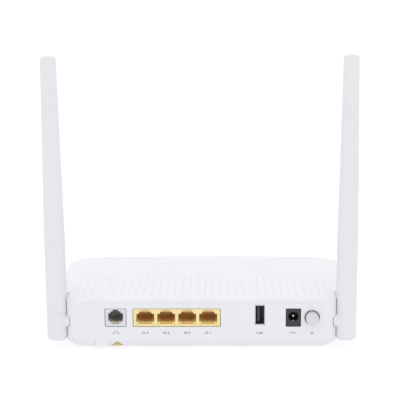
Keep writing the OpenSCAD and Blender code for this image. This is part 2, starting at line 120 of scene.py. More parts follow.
class Shape:
    """Points and faces of a mesh that is being drawn."""

    def __init__(self):
        self.points = []
        self.faces = []

    def add(self, points, faces):
        first = len(self.points)
        self.points += [tuple(p) for p in points]
        self.faces += [[first + i for i in face] for face in faces]
        return self

    def loft(self, rings, caps=True):
        """Skin over closed rings that have the same number of points."""
        n = len(rings[0])
        faces = []
        for k in range(len(rings) - 1):
            for i in range(n):
                j = (i + 1) % n
                faces.append((k * n + i, k * n + j, (k + 1) * n + j, (k + 1) * n + i))
        if caps:
            last = (len(rings) - 1) * n
            faces.append(range(n - 1, -1, -1))
            faces.append(range(last, last + n))
        return self.add([p for ring in rings for p in ring], faces)

    def extruded(self, axis, outline, levels):
        """Outline carried along an axis; each level is a position and how far the outline grows."""
        return self.loft(
            [[on_axis(axis, at, p) for p in grown(outline, grow)] for at, grow in levels]
        )

    def box(self, x, y, z):
        return self.extruded("z", rectangle(x, y), [(z[0], 0), (z[1], 0)])

    def turned(self, axis, centre, profile, count=48):
        """Round body; the profile is a list of positions along the axis and radii."""
        rings = []
        for at, radius in profile:
            rings.append(
                [on_axis(axis, at, p) for p in arc(centre, max(radius, 1e-4), 0, 360, count)[:-1]]
            )
        return self.loft(rings)

    def wire(self, route, radius, count=8):
        """Round wire along a route of points."""
        route = [Vector(p) for p in route]
        rings = []
        for i, p in enumerate(route):
            along = (route[min(i + 1, len(route) - 1)] - route[max(i - 1, 0)]).normalized()
            across = along.cross(Vector((0.13, 0.21, 1))).normalized()
            up = across.cross(along)
            rings.append([p + across * u + up * v for u, v in arc((0, 0), radius, 0, 360, count)[:-1]])
        return self.loft(rings)


def solid(shape):
    """Mesh object of a drawn shape, in metres in the shared frame."""
    mesh = bpy.data.meshes.new("tool")
    mesh.from_pydata([(x * MM, y * MM + WALL, z * MM) for x, y, z in shape.points], [], shape.faces)
    work = bmesh.new()
    work.from_mesh(mesh)
    bmesh.ops.remove_doubles(work, verts=work.verts, dist=WELD)
    bmesh.ops.recalc_face_normals(work, faces=work.faces)
    # The faces of a very thin shape can come out of that pointing inwards
    if work.calc_volume(signed=True) < 0:
        bmesh.ops.reverse_faces(work, faces=work.faces)
    work.to_mesh(mesh)
    work.free()
    made = bpy.data.objects.new("tool", mesh)
    bpy.context.scene.collection.objects.link(made)
    return made


def combine(target, shape, operation="DIFFERENCE"):
    """Cuts, joins or intersects an object with a drawn shape, exactly."""
    tool = solid(shape)
    step = target.modifiers.new("step", "BOOLEAN")
    step.operation = operation
    step.solver = "MANIFOLD"
    step.object = tool
    bpy.context.view_layer.update()
    graph = bpy.context.evaluated_depsgraph_get()
    mesh = bpy.data.meshes.new_from_object(target.evaluated_get(graph))
    target.modifiers.clear()
    target.data = mesh
    bpy.data.objects.remove(tool)
    return target


def piece(made, name, material, body="case", replaces=(), sharp=32, bevel=0):
    """Names an object, gives it its finish and smooth shading, and ties it to its CAD body."""
    made.name = name
    made.data.name = name
    made.data.materials.clear()
    made.data.materials.append(material)
    made.data.polygons.foreach_set("use_smooth", [True] * len(made.data.polygons))
    if bevel:
        edges = made.modifiers.new("edges", "BEVEL")
        edges.width = bevel * MM
        edges.segments = 2
        edges.limit_method = "ANGLE"
        edges.angle_limit = radians(35)
    else:
        made.data.set_sharp_from_angle(angle=radians(sharp))
    normals = made.modifiers.new("normals", "WEIGHTED_NORMAL")
    normals.keep_sharp = True
    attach(made, body)
    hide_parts(*replaces)
    return made


# ---- Materials ----


def srgb(red, green, blue):
    """Linear colour of an 8-bit display colour."""
    channels = [value / 255 for value in (red, green, blue)]
    return [c / 12.92 if c <= 0.04045 else ((c + 0.055) / 1.055) ** 2.4 for c in channels] + [1]


def tinted(colour, factor):
    return [min(c * factor, 1) for c in colour[:3]] + [1]


class Finish:
    """Principled material whose colour, roughness and relief come from procedural nodes."""

    def __init__(self, name, **values):
        self.material = bpy.data.materials.new(name)
        self.material.use_nodes = True
        self.tree = self.material.node_tree
        self.shader = self.tree.nodes["Principled BSDF"]
        for socket, value in values.items():
            self.shader.inputs[socket.replace("_", " ")].default_value = value
        self.place = self.node("ShaderNodeTexCoord").outputs["Object"]

    def node(self, kind, inputs=(), **settings):
        """Adds a node; inputs are pairs of a socket's name or number and a value or an output."""
        made = self.tree.nodes.new(kind)
        for setting, value in settings.items():
            setattr(made, setting, value)
        for socket, value in inputs:
            if isinstance(value, bpy.types.NodeSocket):
                self.tree.links.new(value, made.inputs[socket])
            else:
                made.inputs[socket].default_value = value
        return made

    def noise(self, size_mm, detail=2.0, stretch=(1, 1, 1)):
        """Noise with features of about the given size, stretched along the axes."""
        place = self.node("ShaderNodeMapping", [("Vector", self.place), ("Scale", stretch)])
        settings = [("Vector", place.outputs[0]), ("Scale", 1 / (size_mm * MM)), ("Detail", detail)]
        return self.node("ShaderNodeTexNoise", settings).outputs["Fac"]

    def blend(self, factor, first, second):
        made = self.node("ShaderNodeMix", data_type="RGBA")
        # Sockets of the colour mix: its factor, then the two colours
        for value, number in ((factor, 0), (first, 6), (second, 7)):
            socket = made.inputs[number]
            if isinstance(value, bpy.types.NodeSocket):
                self.tree.links.new(value, socket)
            else:
                socket.default_value = value
        return made.outputs[2]

    def ranged(self, value, low, high, source=(0.3, 0.7)):
        inputs = [("Value", value), ("From Min", source[0]), ("From Max", source[1])]
        return self.node("ShaderNodeMapRange", inputs + [("To Min", low), ("To Max", high)]).outputs[0]

    def colour(self, value):
        self.tree.links.new(value, self.shader.inputs["Base Color"])
        return self

    def mottled(self, colour, size_mm, spread):
        """Colour that drifts slightly over the surface."""
        drift = self.ranged(self.noise(size_mm, 3), 0, 1)
        return self.colour(self.blend(drift, tinted(colour, 1 - spread), tinted(colour, 1 + spread)))

    def rough(self, low, high, size_mm, stretch=(1, 1, 1)):
        value = self.ranged(self.noise(size_mm, 2, stretch), low, high)
        self.tree.links.new(value, self.shader.inputs["Roughness"])
        return self

    def relief(self, height, depth_mm, strength=1.0):
        inputs = [("Height", height), ("Distance", depth_mm * MM), ("Strength", strength)]
        bump = self.node("ShaderNodeBump", inputs)
        self.tree.links.new(bump.outputs[0], self.shader.inputs["Normal"])
        return self


def moulded(name, colour, rough=0.45, grain_mm=0.3, depth_mm=0.01, spread=0.012, **values):
    """Injection-moulded plastic with a fine spark-eroded grain."""
    finish = Finish(name, **values)
    finish.mottled(colour, 35, spread)
    finish.rough(rough - 0.05, rough + 0.05, 2.5)
    return finish.relief(finish.noise(grain_mm, 2), depth_mm, 0.6).material


def metal(name, colour, rough=0.3, stretch=(1, 1, 12), spread=0.05, grain_mm=0.4):
    """Plated or drawn metal with fine lines across its stretch."""
    finish = Finish(name, Metallic=1.0)
    finish.mottled(colour, 3, spread)
    finish.rough(rough - 0.08, rough + 0.08, grain_mm, stretch)
    return finish.relief(finish.noise(grain_mm, 3, stretch), 0.006, 0.5).material


def socket_plastic_with_painted_shade(name, face, depth, near_mm, far_mm):
    """Plastic of a socket with painted shade: its colour darkens towards its back, where the inside of the
    socket lies in shadow.
    """
    finish = Finish(name)
    y = finish.node("ShaderNodeSeparateXYZ", [(0, finish.place)]).outputs["Y"]
    source = (WALL + near_mm * MM, WALL + far_mm * MM)
    # Mask of the painted shade, rising from near_mm to far_mm into the socket
    inward = finish.ranged(y, 0, 1, source)
    drift = finish.ranged(finish.noise(6, 3), 0, 1)
    outer = finish.blend(drift, tinted(face, 0.985), tinted(face, 1.015))
    # Painted shade: the depth colour takes over from the plastic's own colour deeper into the socket
    finish.colour(finish.blend(inward, outer, depth))
    finish.rough(0.35, 0.45, 1.5)
    return finish.relief(finish.noise(0.3, 2), 0.006, 0.5).material


def solder_resist(name):
    """Circuit board: resist over tracks, with bare pads here and there."""
    finish = Finish(name, Coat_Weight=0.4, Coat_Roughness=0.15)
    cells = finish.node(
        "ShaderNodeTexVoronoi",
        [("Vector", finish.place), ("Scale", 420.0)],
        feature="DISTANCE_TO_EDGE",
        distance="EUCLIDEAN",
    ).outputs["Distance"]
    tracks = finish.ranged(cells, 1, 0, (0.03, 0.06))
    resist = finish.blend(tracks, srgb(18, 92, 48), srgb(36, 124, 66))
    dots = finish.node(
        "ShaderNodeTexVoronoi", [("Vector", finish.place), ("Scale", 260.0)]
    ).outputs["Distance"]
    pads = finish.ranged(dots, 1, 0, (0.06, 0.08))
    finish.colour(finish.blend(pads, resist, srgb(196, 190, 160)))
    finish.rough(0.3, 0.42, 3)
    return finish.relief(tracks, 0.03, 0.5).material


def banded(name, colour, line, pitch_mm, axis=2, metallic=0.0, rough=0.4):
    """Surface with fine regular lines across one axis, as an extrusion or a sleeve print has."""
    finish = Finish(name, Metallic=metallic)
    bands = finish.node(
        "ShaderNodeTexWave",
        [("Vector", finish.place), ("Scale", 0.314 / (pitch_mm * MM)), ("Distortion", 0.4)],
        wave_type="BANDS",
        bands_direction="XYZ"[axis],
    ).outputs["Fac"]
    finish.colour(finish.blend(finish.ranged(bands, 0, 1, (0.82, 0.95)), colour, line))
    finish.rough(rough - 0.06, rough + 0.06, 1.2)
    return finish.relief(bands, 0.01, 0.4).material


def rubber(name, colour):
    finish = Finish(name)
    finish.mottled(colour, 4, 0.12)
    finish.rough(0.72, 0.88, 1.0)
    return finish.relief(finish.noise(0.25, 4), 0.03, 0.8).material


WHITE = srgb(224, 225, 229)
materials = {
    "case": moulded("white_case_plastic", WHITE, 0.42),
    "cover": moulded("white_cover_plastic", tinted(WHITE, 1.01), 0.4),
    "antenna": moulded("white_antenna_plastic", tinted(WHITE, 0.96), 0.38, 0.25, 0.006),
    "cap": moulded("grey_cap_plastic", srgb(206, 207, 208), 0.4),
    "side_cap": moulded("white_cap_plastic", tinted(WHITE, 0.98), 0.42),
    "foot": rubber("foot_rubber", srgb(150, 151, 155)),
    "screw": metal("zinc_screw", srgb(176, 176, 182), 0.32, (1, 1, 1)),
    "plate": moulded("label_film", srgb(204, 206, 210), 0.3, 1.0, 0.002),
    "sticker": moulded("gold_film", srgb(222, 178, 40), 0.35, 0.6, 0.003, 0.05),
    "sticker_rim": moulded("gold_film_rim", srgb(132, 98, 26), 0.4, 0.6, 0.003, 0.08),
    "print": moulded("grey_ink", srgb(138, 138, 150), 0.55, 0.5, 0.002, 0.05),
    # Jack plastics with painted shade inside: the second colour is the shade painted towards the back of
    # each socket
    "phone": socket_plastic_with_painted_shade("grey_jack_plastic_with_painted_shade", srgb(210, 213, 216), srgb(162, 163, 166), 1.0, 9.0),
    "lan": socket_plastic_with_painted_shade("yellow_jack_plastic_with_painted_shade", srgb(238, 218, 156), srgb(236, 198, 140), 2.5, 12.0),
    "gold": metal("gold_contact", srgb(232, 188, 104), 0.25, (12, 1, 1), 0.06, 0.3),
    "shell": metal("nickel_shell", srgb(190, 190, 194), 0.34, (1, 12, 1)),
    "black": moulded("black_plastic", srgb(26, 26, 29), 0.4, 0.3, 0.008, 0.08),
    "dc": moulded("dark_jack_plastic", srgb(44, 45, 49), 0.42, 0.3, 0.01, 0.06),
    "tongue": moulded("dark_tongue_plastic", srgb(58, 60, 64), 0.4, 0.3, 0.008, 0.06),
    "nickel": metal("bright_nickel", srgb(214, 214, 218), 0.18, (1, 8, 1)),
    "board": solder_resist("board_resist"),
    "chip": moulded("chip_epoxy", srgb(40, 41, 43), 0.55, 0.15, 0.02, 0.1),
    "pad": rubber("gap_pad", srgb(140, 170, 205)),
    "sink": banded("extruded_aluminium", srgb(196, 198, 202), srgb(170, 172, 178), 0.5, 1, 1.0, 0.4),
    "tin": metal("tinned_steel", srgb(188, 188, 186), 0.36, (10, 1, 1), 0.06),
    "can": banded("capacitor_sleeve", srgb(72, 78, 98), srgb(110, 118, 140), 4.0, 2),
    "ferrite": moulded("ferrite", srgb(56, 56, 60), 0.7, 0.2, 0.03, 0.12),
    "green": moulded("green_adapter_plastic", srgb(30, 128, 74), 0.35, 0.4, 0.006, 0.04),
    "ceramic": moulded("white_ceramic", srgb(238, 234, 224), 0.18, 0.4, 0.002, 0.02),
    "led": moulded("led_moulding", srgb(228, 226, 208), 0.3, 0.3, 0.004, 0.04),
    "guide": moulded("light_guide_acrylic", srgb(206, 216, 222), 0.16, 0.8, 0.002, 0.03),
    "lead": rubber("lead_jacket", srgb(70, 70, 74)),
    "strip": solder_resist("strip_board"),
}


# ---- The case's outline and surfaces ----

HALF_W = span("top_cover")[0][1]
TOP = span("top_cover")[2][1]
DEPTH = span("top_cover")[1][1]
FLOOR = span("bottom_case")[2][0]
THICK = 2.2
LID = 2.3
FLAT_X = 83
SHOULDER_R = 45
CORNER_X = 78
CORNER_R = 19
CORNER_Z = FLOOR + CORNER_R
SHOULDER_Z = TOP - SHOULDER_R
CREASE_Z = SHOULDER_Z + sqrt(SHOULDER_R**2 - (HALF_W - FLAT_X) ** 2)
BOW = 1200 - DEPTH
BROW_Z = 13
CREST_Y = 114.4
SLOPE = (TOP - BROW_Z) / (DEPTH - CREST_Y)
SLOPE_A = atan2(TOP - BROW_Z, DEPTH - CREST_Y)
CHAMFER_Z = FLOOR + 5
CHAMFER_RATE = 15 / 14
NECK_X = 89.95
END_X = 80.3
END_R = 13
END_EDGE = 0.25
NOTCH_Y = 22
NOTCH_R = 2.5
HEEL = 4.65
SEAM = 0.04

side_dx = HALF_W - CORNER_X
side_dz = CREASE_Z - CORNER_Z
# Angle of the side's outward normal below the horizontal
SIDE_A = pi / 2 - atan2(side_dz, side_dx)
SIDE_A -= atan2(CORNER_R, sqrt(side_dx**2 + side_dz**2 - CORNER_R**2))
SIDE_RATE = tan(SIDE_A)


def soft_max(a, b, blend):
    h = max(blend - abs(a - b), 0) / blend
    return max(a, b) + h * h * blend / 4


def soft_min(a, b, blend):
    return -soft_max(-a, -b, blend)


def shoulder_z(x, grow=0):
    """Height of the top across the case, moved outwards by an amount."""
    over = max(abs(x) - FLAT_X, 0)
    return SHOULDER_Z + sqrt(max((SHOULDER_R + grow) ** 2 - over**2, 0))


def bowed(y, x):
    """Where the front's gentle bow takes a point of the middle section at a distance from it."""
    return sqrt((BOW + y) ** 2 - x * x) - BOW


def unbowed(y, x):
    return hypot(BOW + y, x) - BOW


def slope_z(y, x):
    """Height of the sloping front."""
    return BROW_Z + (DEPTH - unbowed(y, x)) * SLOPE


def cover_z(x, y):
    return min(shoulder_z(x), slope_z(y, x))


def seam_z(x, y):
    """Height at which the cover meets the bottom case."""
    drop = LID + 1
    return min(shoulder_z(x, 1) - drop, slope_z(y, x) + 1 / cos(SLOPE_A) - drop)


def low_z(x, inset=0):
    """Height of the case's lower outline, moved inwards, at a distance from the middle."""
    radius = CORNER_R - inset
    over = abs(x) - CORNER_X
    if over <= 0:
        return CORNER_Z - radius
    if over <= radius * cos(SIDE_A):
        return CORNER_Z - sqrt(radius**2 - over**2)
    return CORNER_Z - radius * sin(SIDE_A) + (over - radius * cos(SIDE_A)) / SIDE_RATE


def depth_inside(x, z):
    """Distance inside the case's outline, seen from the rear, in its lower half."""
    over = abs(x) - CORNER_X
    rise = z - CORNER_Z
    if over <= 0:
        return z - FLOOR
    if atan2(rise, over) < -SIDE_A:
        return CORNER_R - hypot(over, rise)
    return CORNER_R - over * cos(SIDE_A) + rise * sin(SIDE_A)


def plan_y(x, inset=0):
    """Where the rear of the case begins: the wall, its rounded end, and the antenna's notch."""
    end = NECK_X - inset
    over = abs(x) - END_X
    if over <= 0:
        return inset
    if abs(x) <= end:
        edge = max(abs(x) - end + END_EDGE, 0)
        corner = END_EDGE - sqrt(END_EDGE**2 - edge**2)
        return END_R - sqrt((END_R - inset) ** 2 - over**2) + corner
    fillet = NOTCH_R + inset
    past = min(abs(x) - end, fillet)
    return NOTCH_Y + inset - fillet + sqrt(fillet**2 - (fillet - past) ** 2)


def rear_y(x, z, inset=0):
    """Rear of the case, with the chamfer that follows its lower outline."""
    plan = plan_y(x, inset)
    if abs(x) > NECK_X - inset:
        return plan
    return soft_max(plan, (HEEL - depth_inside(x, z)) * 0.98 + 1.4 * inset, 0.5)


# ---- Top cover ----

VENT_PITCH = 5.145
VENT_LINES = 19
VENT_FIRST = 6.2
VENT_STEP = 5.867
VENT_DASHES = 9
VENT_DASH = 2.4
VENT_WIDTH = 0.44
VENT_DEPTH = 0.3
LED_Y = 124
LED_PITCH = 9
LED_COUNT = 11
LED_HOLE_R = 1.6
LIP_R = 0.9
NOTCH_EDGE = 0.25
CREST_R = 1.6
BROW_R = 1.4


def cover_rows():
    """Rows from the rear lip over the crest to the lower front edge.

    A row is a distance from the wall, a drop below the curved top, and a greatest height."""
    rows = [(0, 0.05 - LID, TOP)]
    rows += [(LIP_R - y, z - LIP_R, TOP) for y, z in arc((0, 0), LIP_R, 0, 90, 4)]
    gap = (VENT_STEP - VENT_DASH) / 2
    rows += [(VENT_FIRST - gap + k * VENT_STEP, 0, TOP) for k in range(VENT_DASHES + 1)]
    rows += [(y, 0, TOP) for y in (64, 72, 80, 88, 96, 104)]
    crest = CREST_R * tan(SLOPE_A / 2)
    start = CREST_Y - crest
    turn = arc((start, TOP - CREST_R), CREST_R, 90, 90 - degrees(SLOPE_A), 5)
    rows += [(y, 0, z) for y, z in turn]
    rows += [(y, 0, BROW_Z + (DEPTH - y) * SLOPE) for y in (118, 121, 124, 127, 130, 133, 136)]
    brow = BROW_R * tan((pi / 2 - SLOPE_A) / 2)
    turn = arc((DEPTH - BROW_R, BROW_Z - brow), BROW_R, 90 - degrees(SLOPE_A), 0, 4)
    rows += [(y, 0, z) for y, z in turn]
    rows += [(DEPTH, 0, 11.6), (DEPTH, 0, seam_z(0, DEPTH) + SEAM)]
    return rows


def row_y(y, x):
    """Rows are straight behind and follow the front's bow ahead."""
    t = min(max((y - 60) / 40, 0), 1)
    return y + (bowed(y, x) - y) * t * t * (3 - 2 * t)


def cover_ring(row):
    """Closed section of the cover along one row: its outer skin, then its inner one."""
    y, drop, cap = row
    edge_x = HALF_W
    for _ in range(4):
        edge_z = min(shoulder_z(edge_x) + drop, cap)
        edge_x = min(HALF_W, HALF_W - (CREASE_Z - edge_z) * SIDE_RATE)
    rim_z = CREASE_Z
    for _ in range(4):
        rim_x = HALF_W - (CREASE_Z - rim_z) * SIDE_RATE
        rim_z = min(seam_z(rim_x, row_y(y, rim_x)) + SEAM, edge_z - 0.002)
    fall = (edge_x - FLAT_X) / sqrt(SHOULDER_R**2 - (edge_x - FLAT_X) ** 2)
    if shoulder_z(edge_x) + drop > cap:
        fall = 0
    corner = Vector((edge_x, edge_z))
    inward = Vector((-1, fall)).normalized()
    down = Vector((rim_x - edge_x, rim_z - edge_z))
    reach = min(0.8, 0.6 * down.length)
    before = corner + inward * reach
    after = corner + down.normalized() * reach
    xs = [k * VENT_PITCH for k in range(16)] + [80.2, 83, 85.4, 87.8, 90.2, 92.6, 95, 97.4, 99.6]
    half = []
    for x in xs:
        x *= min(before.x / (HALF_W - 1.2), 1)
        half.append((x, min(shoulder_z(x) + drop, cap)))
    for k in range(6):
        t = k / 5
        half.append(tuple(before * (1 - t) ** 2 + corner * 2 * t * (1 - t) + after * t * t))
    half.append((rim_x, rim_z))
    outer = [(-x, z) for x, z in reversed(half[1:])] + half
    inner = []
    inner_y = 0.05 + y * (1 - THICK / DEPTH)
    inner_cap = cap if y >= DEPTH else BROW_Z + (DEPTH - inner_y) * SLOPE - 2.7
    for x, z in outer:
        reach = abs(x) * (1 - 2.6 / HALF_W)
        if abs(x) >= rim_x - 1e-6 and z <= rim_z + 1e-6:
            level = rim_z
            reach = rim_x - THICK
        else:
            level = max(min(shoulder_z(reach) - LID, inner_cap), rim_z)
        inner.append((reach if x > 0 else -reach, level))
    ring = [(x, row_y(y, x), z) for x, z in outer]
    return ring + [(x, row_y(inner_y, x), z) for x, z in reversed(inner)]


def flared(shape, outline, surface, depth, flare):
    """Cutter from above whose mouth flares where it meets a curved surface."""
    rings = []
    for rise, grow in ((-depth, 0), (-flare, 0), (-flare * 0.3, flare * 0.3), (0.02, flare), (2, flare + 1)):
        rings.append([(x, y, surface(x, y) + rise) for x, y in grown(outline, grow)])
    return shape.loft(rings)


def notch_cutter(sign):
    """Clears the cover round the end of the wall and its antenna, and rounds the edge it leaves."""
    neck = [(x, plan_y(x)) for x in (80.3, 81.5, 82.7, 83.9, 85, 86, 87, 88, 88.7, 89.1, 89.4, 89.65)]
    neck += [(NECK_X - 0.05, plan_y(NECK_X - 0.05)), (NECK_X, plan_y(NECK_X))]
    corner = arc((NECK_X + NOTCH_R, NOTCH_Y - NOTCH_R), NOTCH_R, 180, 90, 6)
    outline = [(70, -0.04), (76, -0.02)] + neck + [(NECK_X, y) for y in (8, 11, 14, 17)] + corner
    outline += [(x, NOTCH_Y) for x in (95, 98, 101, HALF_W + 3)]
    outline += [(x, -3) for x in (HALF_W + 3, 98, 89, 80, 70)]
    levels = [(-12, 0)]
    for a in (0, 25, 50, 75):
        levels.append((NOTCH_EDGE * (sin(radians(a)) - 1), NOTCH_EDGE * (1 - cos(radians(a)))))
    levels.append((2, NOTCH_EDGE + 1.5))
    rings = []
    for rise, grow in levels:
        ring = grown(outline, grow)
        rings.append([(sign * x, y, shoulder_z(min(x, HALF_W)) + rise) for x, y in ring])
    return Shape().loft(rings)


def make_cover():
    rings = [cover_ring(row) for row in cover_rows()]
    shell = Shape().loft(rings, caps=False)
    n = len(rings[0])
    last = (len(rings) - 1) * n
    for i in range(n // 2 - 1):
        shell.faces.append([i, i + 1, n - 2 - i, n - 1 - i])
        shell.faces.append([last + i, last + i + 1, last + n - 2 - i, last + n - 1 - i])
    cover = solid(shell)
    vents = Shape()
    for sign in (-1, 1):
        for line in range(VENT_LINES):
            x = (line + 0.5) * VENT_PITCH
            if abs(x - NECK_X) < 1.5:
                x = NECK_X - 0.9
            x *= sign
            for dash in range(VENT_DASHES):
                y = VENT_FIRST + dash * VENT_STEP
                if abs(x) > NECK_X and y < NOTCH_Y + 2:
                    continue
                half = VENT_WIDTH / 2
                slot = rounded(rectangle((x - half, x + half), (y, y + VENT_DASH)), 0.2, 2)
                flared(vents, slot, cover_z, VENT_DEPTH, 0.08)
    combine(cover, vents)
    holes = Shape()
    for k in range(LED_COUNT):
        x = (k - (LED_COUNT - 1) / 2) * LED_PITCH
        flared(holes, arc((x, LED_Y), LED_HOLE_R, 0, 360, 24)[:-1], cover_z, 8, 0.2)
    combine(cover, holes)
    for sign in (-1, 1):
        combine(cover, notch_cutter(sign))
    piece(cover, "cover_shell", materials["cover"], replaces=["top_cover"])


# ---- Bottom case ----

FIT = 0.3
JACK_LOW = 16
PIVOT = (7, 18.5)
COLUMN_X = 84.5
COLUMN_Y = (34, 106)
COLUMNS = [(sign * COLUMN_X, y) for sign in (-1, 1) for y in COLUMN_Y]
BOARD_Z = span("main_board")[2][0]
POWER_BORE = 5.1
RESET = (99, 19.5)
FOOT_R = 4.4


def foot_places():
    x, y, _ = span("rubber_feet")
    ends = (y[0] + FOOT_R, y[1] - FOOT_R)
    return [(u, v) for u in (x[0] + FOOT_R, x[1] - FOOT_R) for v in ends]


def columns(inset, end):
    """Distances from the middle at which the case is sectioned."""
    step = NECK_X - inset
    xs = [0, 13, 26, 39, 52, 64, 72, CORNER_X, end]
    xs += [CORNER_X + (CORNER_R - inset) * sin(radians(a)) for a in range(8, 66, 8)]
    xs += [END_X + (END_R - inset) * sin(radians(a)) for a in range(0, 40, 5)]
    xs += [step + NOTCH_R * (1 - cos(radians(a))) for a in range(30, 91, 20)]
    xs += [96.5, 98, 99.5, 101, end - 0.5]
    kept = [step + d for d in (-0.9, -0.6, -0.3, -0.12, -0.03, 0, 0.03)]
    for x in sorted(xs):
        if x <= end and all(abs(x - other) > 0.2 for other in kept):
            kept.append(x)
    return sorted(kept)


def case_solid(inset, rise):
    """Closed body of the case below the cover, its walls moved inwards and its top moved up."""

    def top(x, y):
        return seam_z(x, y) + rise

    near, far = NECK_X, HALF_W + 5
    for _ in range(40):
        x = (near + far) / 2
        if low_z(x, inset) < top(x, 60) - 0.03:
            near = x
        else:
            far = x
    rings = []
    xs = columns(inset, near)
    for x in [-x for x in reversed(xs[1:])] + xs:
        low = low_z(x, inset)
        rear_top = top(x, plan_y(x, inset))
        rear = [min(low_z(x, inset + d), rear_top) for d in (0, 1.5, 3, 4, 4.4, 4.7, 5, 5.5, 7)]
        rear += [rear[-1] + (rear_top - rear[-1]) * t for t in (0.35, 0.7, 1)]
        ring = [(x, rear_y(x, z, inset), z) for z in rear]
        front = DEPTH - inset
        ridge = DEPTH - (low - top(0, DEPTH)) / SLOPE
        front_y = bowed(min(front, ridge), x)
        start_y = ring[-1][1]
        for k in range(1, 13):
            y = start_y + (front_y - start_y) * k / 12
            ring.append((x, y, max(top(x, y), low)))
        for z in (9.5, 8, 7, 6.3, 5.6, 4.8, 3.5, 0):
            z = max(min(z + inset, ring[-1][2]), low)
            chamfer = DEPTH - (CHAMFER_Z - z) * CHAMFER_RATE - 1.45 * inset
            ring.append((x, bowed(min(soft_min(front, chamfer, 0.8), ridge), x), z))
        last_y = ring[-1][1]
        for k in range(1, 9):
            y = last_y + (ring[0][1] - last_y) * k / 9
            ring.append((x, y, low))
        rings.append(ring)
    return Shape().loft(rings)


def wall_hole(shape, outline):
    """Opening through the connector wall with a softened edge."""
    levels = [(4.5, 0), (0.25, 0), (0.08, 0.06), (-0.01, 0.22), (-1.5, 0.4)]
    return shape.extruded("y", outline, levels)


def make_case():
    case = solid(case_solid(0, -SEAM))
    combine(case, case_solid(THICK, 8))
    bay_x, bay_y = (-73, -56), (5.5, 62)
    ribs = Shape()
    for sign in (-1, 1):
        for y in COLUMN_Y:
            ribs.turned("z", (sign * COLUMN_X, y), [(FLOOR + 0.5, 4.8), (BOARD_Z, 4.6)])
        ribs.turned("x", PIVOT, [(sign * 83.5, 8.5), (sign * 89.3, 8.5)], 64)
    for x in (-30, 46):
        for y in (50, 100):
            ribs.turned("z", (x, y), [(FLOOR + 1, 2.2), (BOARD_Z, 2)])
    ribs.box((bay_x[0] - 1.6, bay_x[1] + 1.6), (1, bay_y[1] + 1.6), (FLOOR + 0.3, 13.8))
    stiff = solid(ribs)
    combine(stiff, case_solid(0.02, -0.3), "INTERSECT")
    joined = Shape()
    points = [(v.co.x / MM, (v.co.y - WALL) / MM, v.co.z / MM) for v in stiff.data.vertices]
    joined.add(points, [list(p.vertices) for p in stiff.data.polygons])
    bpy.data.objects.remove(stiff)
    combine(case, joined, "UNION")
    for sign in (-1, 1):
        hub = [(sign * 77, 2.85), (sign * 87.7, 2.85), (sign * 87.7, 5.35), (sign * 98, 5.35)]
        combine(case, Shape().turned("x", PIVOT, hub, 64))
    openings = Shape()
    for node in ("phone_jack", "lan_jacks", "dc_jack"):
        x, _, z = span(node)
        outline = rectangle((x[0] - FIT, x[1] + FIT), (JACK_LOW - FIT, z[1] + FIT))
        wall_hole(openings, rounded(outline, 0.6, 3))
    x, _, z = span("usb_shell")
    wall_hole(openings, rounded(rectangle((x[0] - FIT, x[1] + FIT), (z[0] - FIT, z[1] + FIT)), 1.0, 4))
    cap = span("power_plunger")
    wall_hole(openings, arc((middle(cap[0]), middle(cap[2])), POWER_BORE, 0, 360, 64)[:-1])
    combine(case, openings)
    bay = Shape().box(bay_x, bay_y, (-1, 12.4))
    combine(case, bay)
    mouth = [(-71.2, -1), (-63.5, -1), (-63.8, 4.9), (-64.6, 5.7), (-70.1, 5.7), (-70.9, 4.9)]
    combine(case, Shape().extruded("y", mouth, [(-2, 0), (bay_y[0] + 1, 0)]))
    fibre_x = middle(span("fibre_ferrule")[0])
    combine(case, Shape().box((fibre_x - 5.7, fibre_x + 5.7), (bay_y[1] - 1, bay_y[1] + 3), (3.3, 12.3)))
    under = Shape()
    for place in COLUMNS:
        screw = [(-1, 3.6), (FLOOR - 0.01, 3.4), (FLOOR + 0.3, 3), (6, 3), (6, 1.7), (15.5, 1.7)]
        under.turned("z", place, screw, 32)
    for k in range(12):
        outline = rounded(rectangle((k * 6 - 26, k * 6 - 24), (56, 84)), 0.9, 4)
        under.extruded("z", outline, [(-1, 1), (FLOOR, 0.3), (FLOOR + 0.3, 0), (4.5, 0)])
    for place in foot_places():
        seat = [(-1, 5), (FLOOR - 0.01, 4.8), (FLOOR + 0.15, 4.6), (1.4, 4.6)]
        under.turned("z", place, seat, 40)
    combine(case, under)
    side = Shape()
    for node in ("radio_button", "pairing_button"):
        y, z = [middle(limits) for limits in span(node)[1:]]
        outline = rounded(rectangle((y - 3.8, y + 3.8), (z - 2.3, z + 2.3)), 1, 4)
        side.extruded("x", outline, [(91.5, 0), (HALF_W + 1, 0)])
    side.turned("x", RESET, [(91.5, 1), (HALF_W + 1, 1)], 24)
    combine(case, side)
    piece(case, "case_shell", materials["case"], replaces=["bottom_case"], sharp=28)


make_cover()
make_case()

# ---- Connectors ----


def stepped(x, steps, crown=()):
    """Symmetrical opening of a modular jack, from the half width and height of each step."""
    right = []
    for half, low, high in steps:
        right += [(x + half, low), (x + half, high)]
    right += [(x + half, z) for half, z in crown]
    return right + [(2 * x - u, z) for u, z in reversed(right)]


def cavity(shape, outline, back):
    """Opening of a socket with a softened mouth."""
    levels = [(back, 0), (0.6, 0), (0.4, 0.03), (0.27, 0.12), (-1, 0.3)]
    return shape.extruded("y", outline, levels)


def springs(x, count, back, low):
    """Contact wires that rise from the mouth of a jack towards its back."""
    wires = Shape()
    for k in range(count):
        at = x + (k - (count - 1) / 2) * 1.02
        route = [(at, 0.95, low - 0.2), (at, 0.95, low + 0.9), (at, 1.1, low + 1.3), (at, 1.5, low + 1.6)]
        route += [(at, y, low + 1.6 + (y - 1.5) * 0.1) for y in (4, 6, 8, 10, 12, back)]
        wires.wire(route, 0.2, 6)
    return wires


